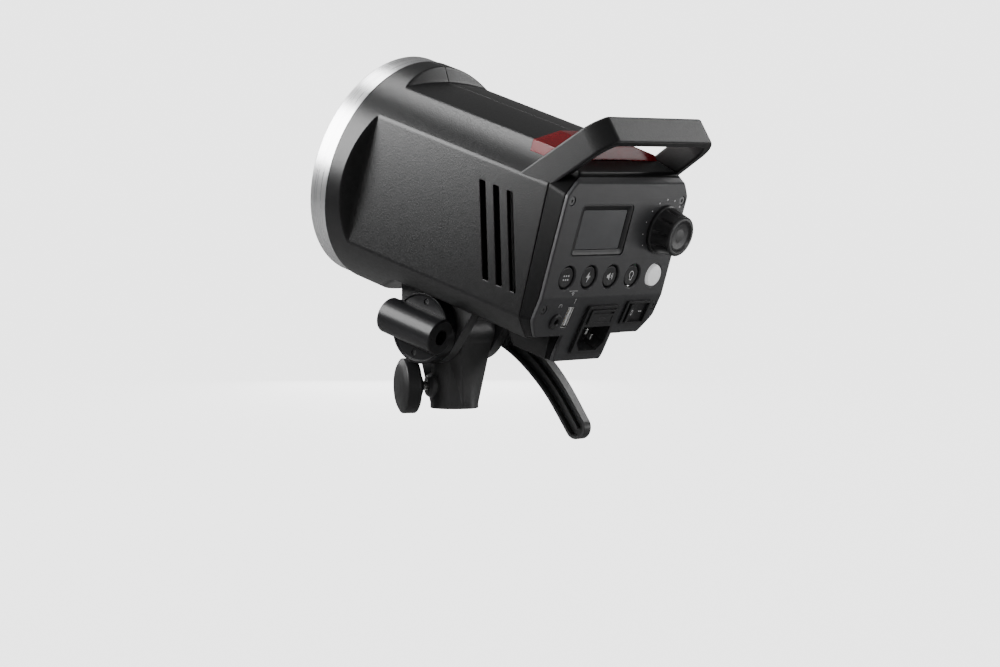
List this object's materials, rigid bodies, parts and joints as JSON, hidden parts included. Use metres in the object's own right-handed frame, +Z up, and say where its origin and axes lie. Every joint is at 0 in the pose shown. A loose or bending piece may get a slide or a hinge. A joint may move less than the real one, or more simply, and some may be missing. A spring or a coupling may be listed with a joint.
{
  "type": "monolight strobe",
  "caption": "Studio flash head with a round front mount ring, rear control panel, carry handle, tilt bracket with lock lever, umbrella holder and stand socket.",
  "frame": {"origin": "centre of the stand socket's open lower end", "axes": "+Z up along the stand; +Y the way the light points, seen from above; +X to the right of someone behind the control panel. The head is stored nose-up by 17.84 degrees, as pictured."},
  "size_m": [0.1406, 0.2312, 0.2321],
  "materials": {
    "black": "fine-grained satin black moulded plastic",
    "panel": "satin dark grey",
    "ring": "satin turned aluminium",
    "cast": "satin black paint on a light alloy casting",
    "gloss": "glossy black",
    "knob": "matt black",
    "dark": "satin near-black",
    "button": "satin black",
    "test": "milky white, lets its lamp through",
    "screen": "glossy dark window",
    "red": "glossy clear red",
    "metal": "bright plated steel",
    "screw": "black oxide",
    "pan": "bright anodised reflector",
    "ceramic": "white insulating block",
    "glass": "clear tube",
    "frosted": "frosted dome",
    "can": "shrink sleeve",
    "board": "lacquered board"
  },
  "bodies": {
    "stand": {"stand_casting": "cast"},
    "head": {"housing_left": "black", "housing_right": "black", "sensor_cover": "red", "slave_sensor": "dark", "mount_ring": "ring", "lamp_plate": "black", "reflector_pan": "pan", "tube_socket": "ceramic", "flash_tube": "glass", "modelling_lamp": "frosted", "heat_sink": "ring", "fan_frame": "black", "capacitor_left": "can", "capacitor_right": "can", "power_board": "board", "control_board": "board", "rear_cover": "black", "control_panel": "panel", "panel_screw_1": "screw", "panel_screw_2": "screw", "panel_screw_3": "screw", "panel_screw_4": "screw", "display_window": "screen", "display_module": "dark", "dial_encoder": "dark", "sync_jack": "dark", "usb_port": "metal", "inlet_body": "black", "inlet_pin_earth": "metal", "inlet_pin_line": "metal", "inlet_pin_neutral": "metal", "rocker_frame": "black", "carry_handle": "black", "head_bracket": "cast", "cap_screw_upper": "screw", "cap_screw_lower": "screw", "umbrella_holder": "gloss", "tilt_bolt": "metal", "friction_washer_left": "dark", "friction_washer_right": "dark"},
    "lever": {"tilt_lever": "black"},
    "clamp": {"stand_knob": "knob", "clamp_screw": "metal"},
    "dial": {"dial_knob": "button"},
    "fan": {"fan_rotor": "dark"},
    "switch": {"rocker": "dark"},
    "drawer": {"fuse_drawer": "dark"},
    "latch": {"latch_slide": "dark"},
    "group_key": {"group_button": "button"},
    "slave_key": {"slave_button": "button"},
    "beep_key": {"beep_button": "button"},
    "lamp_key": {"lamp_button": "button"},
    "test_key": {"test_button": "test"}
  },
  "joints": [
    {"name": "head_tilt", "type": "hinge", "parent": "stand", "child": "head", "pos_m": [0, 0, 0.05], "axis": [1, 0, 0], "range_deg": [-70, 27]},
    {"name": "tilt_lock", "type": "hinge", "parent": "stand", "child": "lever", "pos_m": [0, 0, 0.05], "axis": [1, 0, 0], "range_deg": [0, 50]},
    {"name": "clamp_turn", "type": "hinge", "parent": "stand", "child": "clamp", "pos_m": [0, 0, 0.014], "axis": [-0.809, 0.5878, 0], "range_deg": [0, 720]},
    {"name": "dial_turn", "type": "hinge", "parent": "head", "child": "dial", "pos_m": [0.0415, -0.12539, 0.10944], "axis": [0, 0.9519, 0.3064], "continuous": true},
    {"name": "fan_spin", "type": "hinge", "parent": "head", "child": "fan", "pos_m": [0, -0.03365, 0.12615], "axis": [0, 0.9519, 0.3064], "continuous": true},
    {"name": "power_rocker", "type": "hinge", "parent": "head", "child": "switch", "pos_m": [0.0383, -0.10489, 0.06161], "axis": [0, -0.467, 0.8843], "range_deg": [-16, 0]},
    {"name": "fuse_pull", "type": "slide", "parent": "head", "child": "drawer", "axis": [0, -0.8843, -0.467], "range_m": [0, 0.01]},
    {"name": "latch_release", "type": "slide", "parent": "head", "child": "latch", "axis": [0, -0.3064, 0.9519], "range_m": [0, 0.005], "stiffness_N_per_m": 200, "springref_m": -0.002},
    {"name": "group_press", "type": "slide", "parent": "head", "child": "group_key", "axis": [0, 0.9519, 0.3064], "range_m": [0, 0.001], "stiffness_N_per_m": 400, "springref_m": -0.0005},
    {"name": "slave_press", "type": "slide", "parent": "head", "child": "slave_key", "axis": [0, 0.9519, 0.3064], "range_m": [0, 0.001], "stiffness_N_per_m": 400, "springref_m": -0.0005},
    {"name": "beep_press", "type": "slide", "parent": "head", "child": "beep_key", "axis": [0, 0.9519, 0.3064], "range_m": [0, 0.001], "stiffness_N_per_m": 400, "springref_m": -0.0005},
    {"name": "lamp_press", "type": "slide", "parent": "head", "child": "lamp_key", "axis": [0, 0.9519, 0.3064], "range_m": [0, 0.001], "stiffness_N_per_m": 400, "springref_m": -0.0005},
    {"name": "test_press", "type": "slide", "parent": "head", "child": "test_key", "axis": [0, 0.9519, 0.3064], "range_m": [0, 0.001], "stiffness_N_per_m": 400, "springref_m": -0.0005}
  ]
}
